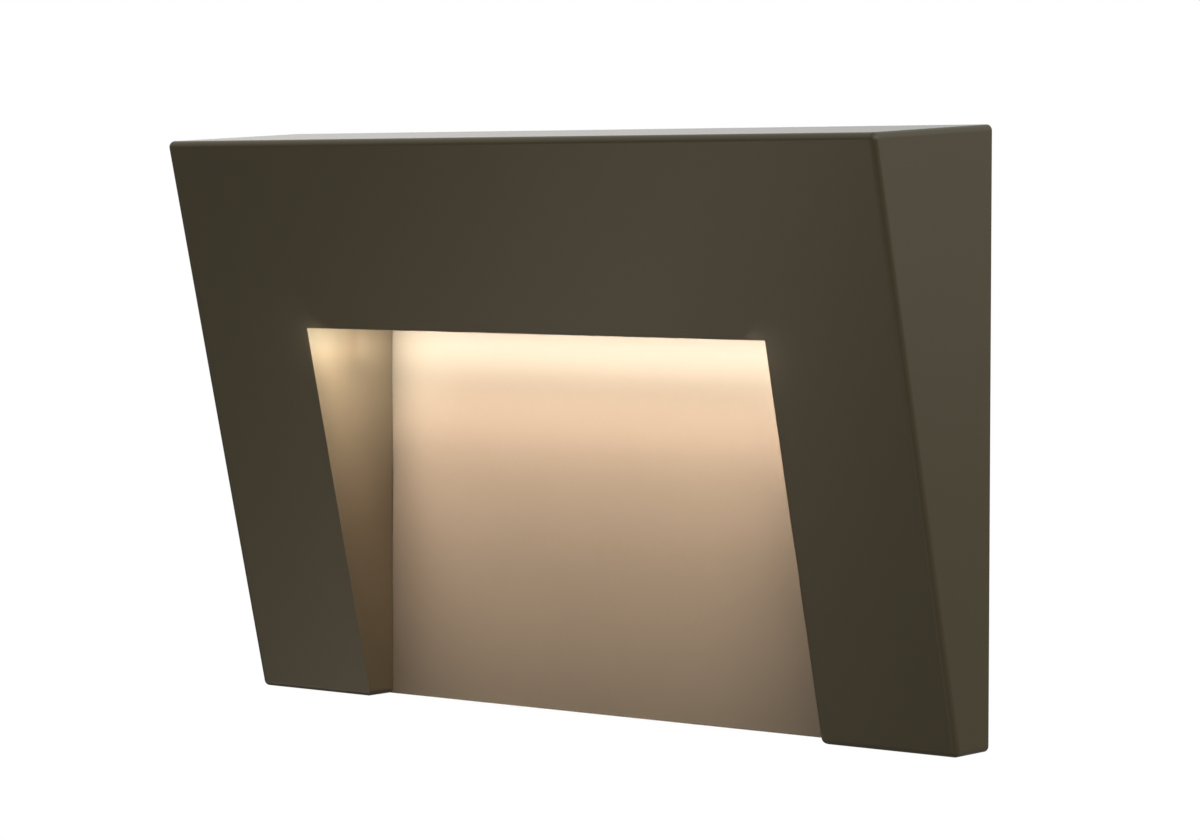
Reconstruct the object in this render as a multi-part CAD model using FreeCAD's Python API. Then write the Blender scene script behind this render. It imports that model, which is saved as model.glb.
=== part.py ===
import FreeCAD, Part
import math
import os

# A low-voltage LED deck light: a bronze cast wedge hangs on a bent steel plate,
# and washes light down the plate between its two legs.
# Lengths are millimetres. X runs across the light, Y into the wall, Z up.
# The wall is the plane y = 0. Heights are measured from the bottom edge of the housing,
# and the finished solids are lowered so that z = 0 is the line of the two wall screws.

# Housing, outside
housing_width = 114.3
housing_height = 76.2
top_depth = 25.2
bottom_depth = 6.8
top_fall = 1.3
edge_radius = 0.8
leg_width = 19.85
leg_screw_inset = 10.15

# Housing, inside
wall = 2.0
foot_height = 5.0
ceiling_thick = 3.2
lip_thick = 1.0
ledge_width = 2.2
window_setback = 2.8
headroom = 0.9
engine_gap = 0.65
boss_radius = 2.5
boss_side_inset = 1.5
boss_top_inset = 2.4
boss_floor_lift = 1.2
seat_pad_height = 1.7
seat_pad_width = 7.0
seat_pad_depth = 5.5

# Mounting plate and its foam
plate_thick = 1.2
foam_thick = 0.8
foam_inset = 1.0
foam_hole_extra = 0.6
rim_gap = 0.3
behind_gap = 0.2
tongue_lap = 1.2
bend_radius = 0.6
crown_lap = 2.7
screw_line_height = 45.0
slot_radius = 2.4
slot_length = 9.0
wire_hole_gap = 0.5
upper_ear_width = 9.0
upper_ear_reach = 10.0
lower_ear_width = 8.0
lower_ear_gap = 0.55
lower_ear_lift = 1.5
shoulder_rise = 0.5
ear_corner_radius = 1.0
rest_gap = 0.05

# Set screws in the feet
set_screw_radius = 1.45
set_screw_recess = 0.45
set_screw_chamfer = 0.5
thread_gap = 0.15
socket_radius = 0.85
socket_depth = 1.5
hexagon_sides = 6

# Chamber cover, its seal and the cable gland
cover_room = 2.6
cover_thick = 1.5
seal_thick = 0.8
cover_gap = 0.3
cover_screw_radius = 1.05
cover_screw_length = 7.0
cover_head_radius = 2.1
cover_head_height = 1.3
screw_hole_gap = 0.35
tap_gap = 0.1
tap_extra = 1.0
gland_bore_radius = 2.5
gland_neck_radius = 4.0
gland_flange_radius = 5.5
gland_flange_thick = 1.0
gland_gap = 0.1

# Lens and its seal
lens_gap = 0.3
lens_lap = 2.0
lens_side_gap = 1.1
lens_flange_thick = 1.6
lens_seal_thick = 0.8
lens_corner_radius = 1.2
corner_limit_share = 0.45

# Light engine
led_pitch = 7.0
led_width = 3.0
led_height = 0.8
reflector_height = 3.8
cup_web = 0.8
cup_wall = 1.7
cup_throat_gap = 0.3
led_board_side_gap = 0.6
led_board_thick = 1.2
thermal_pad_thick = 0.4
thermal_pad_margin = 0.2
pin_notch_width = 5.6
pin_notch_lap = 1.4
board_screw_inset = 2.1
board_screw_radius = 0.95
board_head_radius = 1.8
board_head_height = 1.2

# Heat spreader
spreader_thick = 1.6
spreader_rear_inset = 2.1
tab_inset = 3.9
tab_width = 8.6
tab_screw_lift = 4.7
tab_head_margin = 0.3
tab_screw_radius = 1.2
tab_screw_length = 6.0
tab_head_radius = 2.2
tab_head_height = 1.3
post_radius = 2.4

# Driver board
driver_side_gap = 0.5
driver_rear_gap = 0.6
driver_thick = 1.2
standoff_radius = 1.8
standoff_height = 1.2
standoff_side_inset = 2.7
standoff_front_shift = 0.2
component_clear = 1.3
capacitor_radius = 2.3
choke_height = 4.2
rectifier_height = 1.6
chip_height = 1.5
link_pin_width = 0.64
link_pin_spacing = 2.54
link_pin_stand = 0.8
link_pin_rear_inset = 1.0
link_pin_board_gap = 0.1

# What the driver board carries, as shares of the board between its two screws
component_gap_share = 0.0414
capacitor_length_share = 0.344
choke_width_share = 0.191
rectifier_width_share = 0.153
chip_width_share = 0.127

# The same pieces from front to rear, as shares of the board's depth or of its part before the pins
choke_depth_share = 0.7
choke_corner_share = 0.18
rectifier_depth_share = 0.57
chip_depth_share = 0.76

overrun = 3.0
tolerance = 0.01
sides = (-1, 1)

half_width = housing_width / 2
notch_half = half_width - leg_width
leg_wall_outer = notch_half + wall
leg_screw_x = half_width - leg_screw_inset
plate_rear = -foam_thick
plate_front = plate_rear - plate_thick
seat_y = plate_front - behind_gap
cover_rear = plate_front - cover_room
cover_front = cover_rear - cover_thick
ledge_y = cover_front - seal_thick


def front_y(height, inset=0.0):
    """Y of the leaning front face at a height, or of the plane that lies inset behind it."""
    lean = (top_depth - bottom_depth) / (housing_height - top_fall)
    return -(bottom_depth + lean * height) + inset * math.hypot(1, lean)


def top_z(y, inset=0.0):
    """Height of the sloping top face at a depth, or of the plane that lies inset below it."""
    fall = top_fall / top_depth
    return housing_height + fall * y - inset * math.hypot(1, fall)


# The light chamber is filled from its roof down: each piece rests on the one below it
capacitor_top = top_z(-top_depth, wall + ledge_width) - headroom
driver_top = capacitor_top - capacitor_radius * 2
driver_bottom = driver_top - driver_thick
spreader_top = driver_bottom - standoff_height
spreader_bottom = spreader_top - spreader_thick
led_board_top = spreader_bottom - thermal_pad_thick
led_board_bottom = led_board_top - led_board_thick
reflector_bottom = led_board_bottom - reflector_height
flange_bottom = reflector_bottom - lens_flange_thick
ceiling_top = flange_bottom - lens_seal_thick
notch_height = ceiling_top - ceiling_thick
recess_floor = notch_height + lip_thick
chamber_half = notch_half - ledge_width
chamber_top = top_z(ledge_y, wall + ledge_width)
gland_height = (ceiling_top + chamber_top) / 2

# The lens fills the room between the front wall and the ledge
engine_front = front_y(flange_bottom, wall) + engine_gap
engine_rear = ledge_y - window_setback + lens_lap
engine_depth = engine_rear - engine_front
engine_y = (engine_front + engine_rear) / 2
window_depth = engine_depth - lens_lap * 2
flange_half = chamber_half - boss_side_inset - boss_radius - lens_side_gap
window_half = flange_half - lens_lap
led_count = round(window_half * 2 / led_pitch)
led_board_half = chamber_half - led_board_side_gap
board_screw_x = led_board_half - board_screw_inset

spreader_rear = ledge_y - spreader_rear_inset
tab_front = spreader_rear - spreader_thick
tab_outer = led_board_half - tab_inset
tab_inner = tab_outer - tab_width
tab_centre = (tab_inner + tab_outer) / 2
tab_screw_height = spreader_top + tab_screw_lift
tab_top = tab_screw_height + tab_head_radius + tab_head_margin

driver_half = tab_inner - driver_side_gap
driver_rear = tab_front - driver_rear_gap
driver_front = front_y(driver_bottom, wall) + engine_gap
driver_depth = driver_rear - driver_front
driver_y = (driver_front + driver_rear) / 2
standoff_x = driver_half - standoff_side_inset
component_start = -standoff_x + board_head_radius + component_clear
component_run = -component_start * 2
component_gap = component_run * component_gap_share
component_rear = driver_rear - link_pin_rear_inset - component_clear
component_depth = component_rear - driver_front
capacitor_length = component_run * capacitor_length_share
choke_start = component_start + capacitor_length + component_gap
choke_width = component_run * choke_width_share
rectifier_start = choke_start + choke_width + component_gap
rectifier_width = component_run * rectifier_width_share
chip_start = rectifier_start + rectifier_width + component_gap

lower_ear_face = foot_height + lower_ear_lift
lower_ear_front = front_y(lower_ear_face, wall) + lower_ear_gap
set_screw_top = lower_ear_face - rest_gap
set_screw_y = (seat_y + lower_ear_front - behind_gap) / 2


def front_top_corner(front_inset, top_inset):
    """Where the inset front plane meets the inset top plane, as (y, z)."""
    lean = (top_depth - bottom_depth) / (housing_height - top_fall)
    fall = top_fall / top_depth
    y = (front_y(0, front_inset) - lean * top_z(0, top_inset)) / (1 + lean * fall)
    return y, top_z(y, top_inset)


def block(x0, x1, y0, y1, z0, z1):
    corner = FreeCAD.Vector(x0, y0, z0)
    return Part.makeBox(x1 - x0, y1 - y0, z1 - z0, corner)


def rod(centre, direction, radius, length):
    return Part.makeCylinder(radius, length, FreeCAD.Vector(*centre), FreeCAD.Vector(*direction))


def rod_y(x, z, radius, y0, y1):
    return rod((x, y0, z), (0, 1, 0), radius, y1 - y0)


def rod_z(x, y, radius, z0, z1):
    return rod((x, y, z0), (0, 0, 1), radius, z1 - z0)


def side_prism(points, x0, x1):
    """A solid with the same side profile, given as (y, z) points, from x0 to x1."""
    corners = [FreeCAD.Vector(x0, y, z) for y, z in points]
    outline = Part.makePolygon(corners + corners[:1])
    return Part.Face(outline).extrude(FreeCAD.Vector(x1 - x0, 0, 0))


def fused(shapes):
    shapes = list(shapes)
    return shapes[0].multiFuse(shapes[1:]).removeSplitter()


def cut_all(shape, tools):
    return shape.cut(Part.makeCompound(list(tools)))


def rounded(shape, radius, wanted):
    """Fillet the edges whose bounding box passes the wanted test."""
    edges = [edge for edge in shape.Edges if wanted(edge.BoundBox)]
    return shape.makeFillet(radius, edges)


def is_upright(bounds):
    return bounds.XLength < tolerance and bounds.YLength < tolerance


def bar(half, depth, z0, z1):
    """A flat bar centred on x = 0 and on the light engine."""
    return block(-half, half, engine_y - depth / 2, engine_y + depth / 2, z0, z1)


def slab(half, depth, z0, z1):
    """A flat bar whose upright corners are rounded, as far as its depth allows."""
    radius = min(lens_corner_radius, depth * corner_limit_share)
    return rounded(bar(half, depth, z0, z1), radius, is_upright)


def bent_strip(x0, x1, corner, ends, thick):
    """A strip folded once. corner is where its two outer faces would meet, as (y, z).

    ends holds the y where one leg stops and the z where the other leg stops.
    """
    y, z = corner
    y_end, z_end = ends
    toward_y = math.copysign(1, y_end - y)
    toward_z = math.copysign(1, z_end - z)
    outer = bend_radius + thick
    centre_y = y + toward_y * outer
    centre_z = z + toward_z * outer

    def at(point_y, point_z):
        return FreeCAD.Vector(x0, point_y, point_z)

    def arc(radius, start, end):
        back = radius * math.sqrt(0.5)
        middle = at(centre_y - toward_y * back, centre_z - toward_z * back)
        return Part.Arc(start, middle, end).toShape()

    outer_y = at(centre_y, z)
    outer_z = at(y, centre_z)
    inner_y = at(centre_y, z + toward_z * thick)
    inner_z = at(y + toward_y * thick, centre_z)
    end_outer_y = at(y_end, z)
    end_inner_y = at(y_end, z + toward_z * thick)
    end_outer_z = at(y, z_end)
    end_inner_z = at(y + toward_y * thick, z_end)
    outline = Part.Wire([
        Part.makeLine(end_outer_y, outer_y),
        arc(outer, outer_y, outer_z),
        Part.makeLine(outer_z, end_outer_z),
        Part.makeLine(end_outer_z, end_inner_z),
        Part.makeLine(end_inner_z, inner_z),
        arc(bend_radius, inner_z, inner_y),
        Part.makeLine(inner_y, end_inner_y),
        Part.makeLine(end_inner_y, end_outer_y),
    ])
    return Part.Face(outline).extrude(FreeCAD.Vector(x1 - x0, 0, 0))


def slot_y(x, z, radius, length, y0, y1):
    """A slot cutter that runs along X and is pushed along Y."""
    reach = length / 2 - radius
    middle = block(x - reach, x + reach, y0, y1, z - radius, z + radius)
    ends = [rod_y(x + side * reach, z, radius, y0, y1) for side in sides]
    return fused([middle] + ends)


def prism_z(points, z0, z1):
    """An upright solid over an outline given as (x, y) points."""
    corners = [FreeCAD.Vector(x, y, z0) for x, y in points]
    outline = Part.makePolygon(corners + corners[:1])
    return Part.Face(outline).extrude(FreeCAD.Vector(0, 0, z1 - z0))


def regular_points(x, y, radius, count):
    """The corners of a regular polygon round a centre, as (x, y) points."""
    turns = [corner * 2 * math.pi / count for corner in range(count)]
    return [(x + radius * math.cos(turn), y + radius * math.sin(turn)) for turn in turns]


def hex_screw(head_radius, head_height, shank_radius, shank_length):
    """A hexagon head screw along Z: its head stands above z = 0 and its shank hangs below."""
    head = prism_z(regular_points(0, 0, head_radius, hexagon_sides), 0, head_height)
    shank = rod((0, 0, 0), (0, 0, -1), shank_radius, shank_length)
    return head.fuse(shank)


def placed(shape, at, quarter_turns_about_x=0):
    copy = shape.copy()
    copy.rotate(FreeCAD.Vector(0, 0, 0), FreeCAD.Vector(1, 0, 0), 90 * quarter_turns_about_x)
    copy.translate(FreeCAD.Vector(*at))
    return copy


def cover_screw_places():
    """X and height of the four screws that hold the chamber cover."""
    x = chamber_half - boss_side_inset
    low = ceiling_top + boss_floor_lift
    high = chamber_top - boss_top_inset
    return [(side * x, z) for side in sides for z in (low, high)]


def wedge():
    """The outside of the housing, with every front and side edge rounded."""
    front_top = front_top_corner(0, 0)
    profile = [(0, 0), (front_y(0), 0), front_top, (0, top_z(0))]
    body = side_prism(profile, -half_width, half_width)
    return rounded(body, edge_radius, lambda bounds: bounds.YMin < -tolerance)


def hollow(x0, x1, floor, rear, front_inset, top_inset):
    """A pocket that keeps the slope of the front and the top, open towards the wall."""
    y, z = front_top_corner(front_inset, top_inset)
    profile = [
        (rear, floor),
        (front_y(floor, front_inset), floor),
        (y, z),
        (rear, top_z(rear, top_inset)),
    ]
    return side_prism(profile, x0, x1)


def notch():
    """The opening between the legs, flared by an arc where each leg's corner is rounded."""
    low = -overrun
    corner = notch_half + edge_radius
    back = edge_radius * (1 - math.sqrt(0.5))

    def at(x, z):
        return FreeCAD.Vector(x, overrun, z)

    def flare(side):
        start = at(side * corner, 0)
        middle = at(side * (notch_half + back), back)
        end = at(side * notch_half, edge_radius)
        return Part.Arc(start, middle, end).toShape()

    outline = Part.Wire([
        Part.makeLine(at(-corner, low), at(-corner, 0)),
        flare(-1),
        Part.makeLine(at(-notch_half, edge_radius), at(-notch_half, notch_height)),
        Part.makeLine(at(-notch_half, notch_height), at(notch_half, notch_height)),
        Part.makeLine(at(notch_half, notch_height), at(notch_half, edge_radius)),
        flare(1),
        Part.makeLine(at(corner, 0), at(corner, low)),
        Part.makeLine(at(corner, low), at(-corner, low)),
    ])
    through = FreeCAD.Vector(0, -(top_depth + overrun * 2), 0)
    return Part.Face(outline).extrude(through)


def chamber_screw_holes(radius, y0, y1):
    return [rod_y(x, z, radius, y0, y1) for x, z in cover_screw_places()]


def make_housing():
    outside = wedge()
    inner_half = half_width - wall
    tongue_half = notch_half + tongue_lap + rim_gap
    side_pockets = [
        hollow(*sorted((side * leg_wall_outer, side * inner_half)), foot_height, overrun, wall, wall)
        for side in sides
    ]
    chamber = hollow(-chamber_half, chamber_half, ceiling_top, ledge_y, wall, wall + ledge_width)
    cover_recess = side_prism(
        [
            (ledge_y, recess_floor),
            (overrun, recess_floor),
            (overrun, top_z(overrun, wall)),
            (ledge_y, top_z(ledge_y, wall)),
        ],
        -notch_half,
        notch_half,
    )
    plate_recess = side_prism(
        [
            (seat_y, foot_height),
            (overrun, foot_height),
            (overrun, top_z(overrun, wall)),
            (seat_y, top_z(seat_y, wall)),
        ],
        -inner_half,
        inner_half,
    )
    tongue_recess = block(
        -tongue_half, tongue_half, seat_y, overrun, -overrun, foot_height + overrun
    )
    window = slab(window_half, window_depth, notch_height - overrun, ceiling_top + overrun)
    pockets = side_pockets + [chamber, cover_recess, plate_recess, tongue_recess, window, notch()]
    shell = cut_all(outside, pockets)

    front_reach = -(top_depth + overrun)
    bosses = [rod_y(x, z, boss_radius, front_reach, ledge_y) for x, z in cover_screw_places()]
    posts = [
        rod_y(side * tab_centre, tab_screw_height, post_radius, front_reach, tab_front)
        for side in sides
    ]
    inside_front = hollow(-half_width, half_width, notch_height, 0, wall / 2, wall / 2)
    pillars = [pillar.common(inside_front) for pillar in bosses + posts]
    shell = fused([shell] + pillars + seat_pads())

    cover_hole = cover_screw_radius + tap_gap
    cover_depth = ledge_y - (cover_screw_length - cover_thick - seal_thick) - tap_extra
    tab_hole = tab_screw_radius + tap_gap
    tab_depth = tab_front - (tab_screw_length - spreader_thick) - tap_extra
    foot_hole = set_screw_radius + thread_gap
    holes = chamber_screw_holes(cover_hole, cover_depth, ledge_y + overrun)
    for side in sides:
        holes.append(
            rod_y(side * tab_centre, tab_screw_height, tab_hole, tab_depth, tab_front + overrun)
        )
        holes.append(
            rod_z(side * leg_screw_x, set_screw_y, foot_hole, -overrun, foot_height + overrun)
        )
    return cut_all(shell, holes)


def upper_ear_centre():
    return (notch_half + crown_lap + half_width - wall - rim_gap) / 2


def upper_ear_face():
    return top_z(0, wall) - seat_pad_height


def seat_pads():
    """Cast pads under the top wall that sit on the plate's upper ears."""
    rear = plate_front - bend_radius - plate_thick
    front = rear - seat_pad_depth
    bottom = upper_ear_face() + rest_gap
    top = top_z(front, wall / 2)
    half = seat_pad_width / 2
    return [
        block(
            side * upper_ear_centre() - half, side * upper_ear_centre() + half,
            front, rear, bottom, top,
        )
        for side in sides
    ]


def plate_outline(inset):
    """The flat outline of the plate, drawn in by inset, as (x, z) points."""
    tongue = notch_half + tongue_lap - inset
    outer = half_width - wall - rim_gap - inset
    crown = notch_half + crown_lap - inset
    shoulder = lower_ear_face + bend_radius + plate_thick + shoulder_rise + inset
    upper = upper_ear_face() - bend_radius - plate_thick - shoulder_rise - inset
    top = top_z(0, wall) - rim_gap - inset
    right = [
        (tongue, inset), (tongue, shoulder), (outer, shoulder),
        (outer, upper), (crown, upper), (crown, top),
    ]
    left = [(-x, z) for x, z in reversed(right)]
    return right + left


def plate_sheet(inset, hole_extra, y0, y1):
    corners = [FreeCAD.Vector(x, y0, z) for x, z in plate_outline(inset)]
    outline = Part.makePolygon(corners + corners[:1])
    sheet = Part.Face(outline).extrude(FreeCAD.Vector(0, y1 - y0, 0))
    low = y0 - overrun
    high = y1 + overrun
    radius = slot_radius + hole_extra
    length = slot_length + hole_extra * 2
    slots = [
        slot_y(side * leg_screw_x, screw_line_height, radius, length, low, high)
        for side in sides
    ]
    wire_radius = gland_flange_radius + wire_hole_gap + hole_extra
    wire_hole = rod_y(0, gland_height, wire_radius, low, high)
    return cut_all(sheet, slots + [wire_hole])


def ear(side, centre, width, face, edge, reach):
    """A lug folded forward from the plate's edge, with its tip corners rounded."""
    x0 = side * centre - width / 2
    x1 = x0 + width
    lug = bent_strip(x0, x1, (plate_rear, face), (-reach, edge), plate_thick)
    near_tip = -reach + ear_corner_radius
    return rounded(
        lug, ear_corner_radius, lambda bounds: is_upright(bounds) and bounds.YMax < near_tip
    )


def make_mounting_plate():
    sheet = plate_sheet(0, 0, plate_front, plate_rear)
    into_sheet = shoulder_rise + bend_radius + plate_thick * 2
    ears = []
    for side in sides:
        ears.append(
            ear(side, upper_ear_centre(), upper_ear_width, upper_ear_face(),
                upper_ear_face() - into_sheet, upper_ear_reach)
        )
        ears.append(
            ear(side, leg_screw_x, lower_ear_width, lower_ear_face,
                lower_ear_face + into_sheet, -lower_ear_front)
        )
    return fused([sheet] + ears)


def make_wall_gasket():
    return plate_sheet(foam_inset, foam_hole_extra, plate_rear, 0)


def make_set_screw(side):
    """A grub screw: a hexagon socket below, a chamfered tip against the plate's lower ear."""
    x = side * leg_screw_x
    bottom = set_screw_recess
    body = rod_z(x, set_screw_y, set_screw_radius, bottom, set_screw_top)
    tip_edges = [edge for edge in body.Edges if edge.BoundBox.ZMin > set_screw_top - tolerance]
    body = body.makeChamfer(set_screw_chamfer, tip_edges)
    points = regular_points(x, set_screw_y, socket_radius, hexagon_sides)
    return body.cut(prism_z(points, bottom, bottom + socket_depth))


def cover_slab(y0, y1):
    """The outline of the chamber cover and of its seal, from y0 to y1."""
    half = notch_half - cover_gap
    return block(-half, half, y0, y1, recess_floor + cover_gap, top_z(y0, wall) - cover_gap)


def make_chamber_seal():
    """A flat rubber ring on the ledge, with a square corner round each screw."""
    sheet = cover_slab(ledge_y, cover_front)
    inner = block(
        -chamber_half, chamber_half, ledge_y - overrun, cover_front + overrun,
        ceiling_top, chamber_top,
    )
    ring = sheet.cut(inner)
    corners = [
        block(x - boss_radius, x + boss_radius, ledge_y, cover_front, z - boss_radius, z + boss_radius)
        for x, z in cover_screw_places()
    ]
    seal = fused([ring] + [corner.common(sheet) for corner in corners])
    hole = cover_screw_radius + screw_hole_gap
    return cut_all(seal, chamber_screw_holes(hole, ledge_y - overrun, cover_front + overrun))


def make_chamber_cover():
    plate = cover_slab(cover_front, cover_rear)
    low = cover_front - overrun
    high = cover_rear + overrun
    holes = chamber_screw_holes(cover_screw_radius + screw_hole_gap, low, high)
    gland_hole = rod_y(0, gland_height, gland_neck_radius + gland_gap, low, high)
    return cut_all(plate, holes + [gland_hole])


def make_cover_screws():
    screw = hex_screw(cover_head_radius, cover_head_height, cover_screw_radius, cover_screw_length)
    return Part.makeCompound(
        [placed(screw, (x, cover_rear, z), -1) for x, z in cover_screw_places()]
    )


def make_cable_gland():
    """A rubber grommet snapped into the cover, with flanges on both faces."""
    front = cover_front - gland_flange_thick
    rear = cover_rear + gland_flange_thick
    neck = rod_y(0, gland_height, gland_neck_radius, front, rear)
    flanges = [
        rod_y(0, gland_height, gland_flange_radius, front, cover_front),
        rod_y(0, gland_height, gland_flange_radius, cover_rear, rear),
    ]
    bore = rod_y(0, gland_height, gland_bore_radius, front - overrun, rear + overrun)
    return fused([neck] + flanges).cut(bore)


def make_lens():
    """Frosted lens: a boss that fills the window, and a flange that rests on the seal."""
    boss = slab(
        window_half - lens_gap, window_depth - lens_gap * 2,
        notch_height, flange_bottom + lens_flange_thick / 2,
    )
    flange = slab(flange_half, engine_depth, flange_bottom, reflector_bottom)
    return fused([boss, flange])


def make_lens_seal():
    ring = bar(flange_half - lens_gap, engine_depth - lens_gap * 2, ceiling_top, flange_bottom)
    opening = bar(
        window_half + lens_gap / 2, window_depth + lens_gap,
        ceiling_top - overrun, flange_bottom + overrun,
    )
    return ring.cut(opening)


def led_places():
    first = -led_pitch * (led_count - 1) / 2
    return [first + led_pitch * index for index in range(led_count)]


def cup_cutter():
    """A square cup on the origin that narrows upwards from its mouth to its throat."""
    mouth_x = (led_pitch - cup_web) / 2
    mouth_y = engine_depth / 2 - cup_wall
    throat = led_width / 2 + cup_throat_gap
    wedge_along_y = Part.makeWedge(
        -mouth_x, 0, -mouth_y, -throat, -throat,
        mouth_x, reflector_height, mouth_y, throat, throat,
    )
    wedge_along_y.rotate(FreeCAD.Vector(0, 0, 0), FreeCAD.Vector(1, 0, 0), 90)
    return wedge_along_y


def make_reflector():
    """A white moulded bar with one tapered square cup for each LED."""
    plain = bar(flange_half, engine_depth, reflector_bottom, led_board_bottom)
    cup = cup_cutter()
    return cut_all(plain, [placed(cup, (x, engine_y, reflector_bottom)) for x in led_places()])


def board_screw_holes(radius, z0, z1):
    return [rod_z(side * board_screw_x, engine_y, radius, z0, z1) for side in sides]


def make_led_board():
    board = bar(led_board_half, engine_depth, led_board_bottom, led_board_top)
    hole = board_screw_radius + tap_gap
    return cut_all(board, board_screw_holes(hole, led_board_bottom - overrun, led_board_top + overrun))


def make_leds():
    half = led_width / 2
    return Part.makeCompound([
        block(
            x - half, x + half, engine_y - half, engine_y + half,
            led_board_bottom - led_height, led_board_bottom,
        )
        for x in led_places()
    ])


def link_pin_places():
    """X and Y of the two pins that join the driver board to the LED board."""
    x = rectifier_start + rectifier_width / 2
    y = driver_rear - link_pin_rear_inset
    return [(x, y), (x + link_pin_spacing, y)]


def link_pin_bars(extra, z0, z1):
    """The two square pins, or with an extra width the holes they pass through."""
    half = link_pin_width / 2 + extra
    return [block(x - half, x + half, y - half, y + half, z0, z1) for x, y in link_pin_places()]


def link_pin_notch(z0, z1):
    """The notch in the pad's and the shelf's rear edge that the pins pass through."""
    first, last = link_pin_places()
    x = (first[0] + last[0]) / 2
    half = pin_notch_width / 2
    return block(x - half, x + half, first[1] - pin_notch_lap, ledge_y, z0, z1)


def make_thermal_pad():
    depth = engine_depth - thermal_pad_margin * 2
    pad = bar(flange_half, depth, led_board_top, spreader_bottom)
    return pad.cut(link_pin_notch(led_board_top - overrun, spreader_bottom + overrun))


def make_heat_spreader():
    """A bent aluminium shelf with two upright tabs that screw to the cast posts."""
    shelf_rear = spreader_rear - spreader_thick - bend_radius
    shelf = block(
        -led_board_half, led_board_half, engine_front, spreader_rear, spreader_bottom, spreader_top
    )
    tabs = []
    for side in sides:
        x0, x1 = sorted((side * tab_inner, side * tab_outer))
        shelf = shelf.cut(
            block(x0, x1, shelf_rear, spreader_rear, spreader_bottom, spreader_top)
        )
        tabs.append(
            bent_strip(
                x0, x1, (spreader_rear, spreader_bottom),
                (shelf_rear - spreader_thick, tab_top), spreader_thick,
            )
        )
    spreader = fused([shelf] + tabs)
    screw_hole = tab_screw_radius + screw_hole_gap
    holes = [
        rod_y(side * tab_centre, tab_screw_height, screw_hole, tab_front - overrun,
              spreader_rear + overrun)
        for side in sides
    ]
    tapped = board_screw_radius + tap_gap
    low = spreader_bottom - overrun
    high = spreader_top + overrun
    holes += board_screw_holes(tapped, low, high)
    return cut_all(spreader, holes + [link_pin_notch(low, high)])


def make_heat_spreader_screws():
    screw = hex_screw(tab_head_radius, tab_head_height, tab_screw_radius, tab_screw_length)
    return Part.makeCompound([
        placed(screw, (side * tab_centre, spreader_rear, tab_screw_height), -1)
        for side in sides
    ])


def make_led_board_screws():
    """Hexagon heads under the LED board, with their shanks up in the spreader."""
    length = led_board_thick + thermal_pad_thick + spreader_thick
    screw = hex_screw(board_head_radius, board_head_height, board_screw_radius, length)
    return Part.makeCompound([
        placed(screw, (side * board_screw_x, engine_y, led_board_bottom), 2)
        for side in sides
    ])


def standoff_places():
    return [(side * standoff_x, driver_y + standoff_front_shift) for side in sides]


def make_driver_board():
    board = block(
        -driver_half, driver_half, driver_front, driver_rear, driver_bottom, driver_top
    )
    low = driver_bottom - overrun
    high = driver_top + overrun
    holes = [rod_z(x, y, board_screw_radius + tap_gap, low, high) for x, y in standoff_places()]
    return cut_all(board, holes + link_pin_bars(link_pin_board_gap, low, high))


def make_driver_standoffs():
    """Hexagonal threaded standoffs pressed on to the shelf."""
    bore = board_screw_radius + tap_gap
    return Part.makeCompound([
        prism_z(
            regular_points(x, y, standoff_radius, hexagon_sides), spreader_top, driver_bottom
        ).cut(rod_z(x, y, bore, spreader_top - overrun, driver_bottom + overrun))
        for x, y in standoff_places()
    ])


def make_driver_screws():
    length = driver_thick + standoff_height
    screw = hex_screw(board_head_radius, board_head_height, board_screw_radius, length)
    return Part.makeCompound([placed(screw, (x, y, driver_top)) for x, y in standoff_places()])


def make_smoothing_capacitor():
    """An electrolytic can lying on the driver board."""
    start = (component_start, driver_y, driver_top + capacitor_radius)
    return rod(start, (1, 0, 0), capacitor_radius, capacitor_length)


def make_choke():
    """A shielded choke: a square ferrite block with cut corners."""
    half_x = choke_width / 2
    half_y = driver_depth * choke_depth_share / 2
    corner = choke_width * choke_corner_share
    quarter = [(half_x, half_y - corner), (half_x - corner, half_y)]
    half = quarter + [(-x, y) for x, y in reversed(quarter)]
    outline = half + [(-x, -y) for x, y in half]
    centre_x = choke_start + half_x
    points = [(centre_x + x, driver_y + y) for x, y in outline]
    return prism_z(points, driver_top, driver_top + choke_height)


def make_bridge_rectifier():
    depth = component_depth * rectifier_depth_share
    return block(
        rectifier_start, rectifier_start + rectifier_width, component_rear - depth, component_rear,
        driver_top, driver_top + rectifier_height,
    )


def make_driver_chip():
    width = component_run * chip_width_share
    depth = component_depth * chip_depth_share
    return block(
        chip_start, chip_start + width, component_rear - depth, component_rear,
        driver_top, driver_top + chip_height,
    )


def make_link_pins():
    return Part.makeCompound(link_pin_bars(0, led_board_top, driver_top + link_pin_stand))


nodes = {
    "mounting_plate": make_mounting_plate(),
    "wall_gasket": make_wall_gasket(),
    "housing": make_housing(),
    "lens": make_lens(),
    "lens_gasket": make_lens_seal(),
    "reflector": make_reflector(),
    "led_board": make_led_board(),
    "leds": make_leds(),
    "thermal_pad": make_thermal_pad(),
    "heat_spreader": make_heat_spreader(),
    "heat_spreader_screws": make_heat_spreader_screws(),
    "led_board_screws": make_led_board_screws(),
    "driver_board": make_driver_board(),
    "driver_standoffs": make_driver_standoffs(),
    "driver_screws": make_driver_screws(),
    "smoothing_capacitor": make_smoothing_capacitor(),
    "choke": make_choke(),
    "bridge_rectifier": make_bridge_rectifier(),
    "driver_chip": make_driver_chip(),
    "link_pins": make_link_pins(),
    "chamber_gasket": make_chamber_seal(),
    "chamber_cover": make_chamber_cover(),
    "cover_screws": make_cover_screws(),
    "cable_gland": make_cable_gland(),
    "left_set_screw": make_set_screw(-1),
    "right_set_screw": make_set_screw(1),
}

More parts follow.
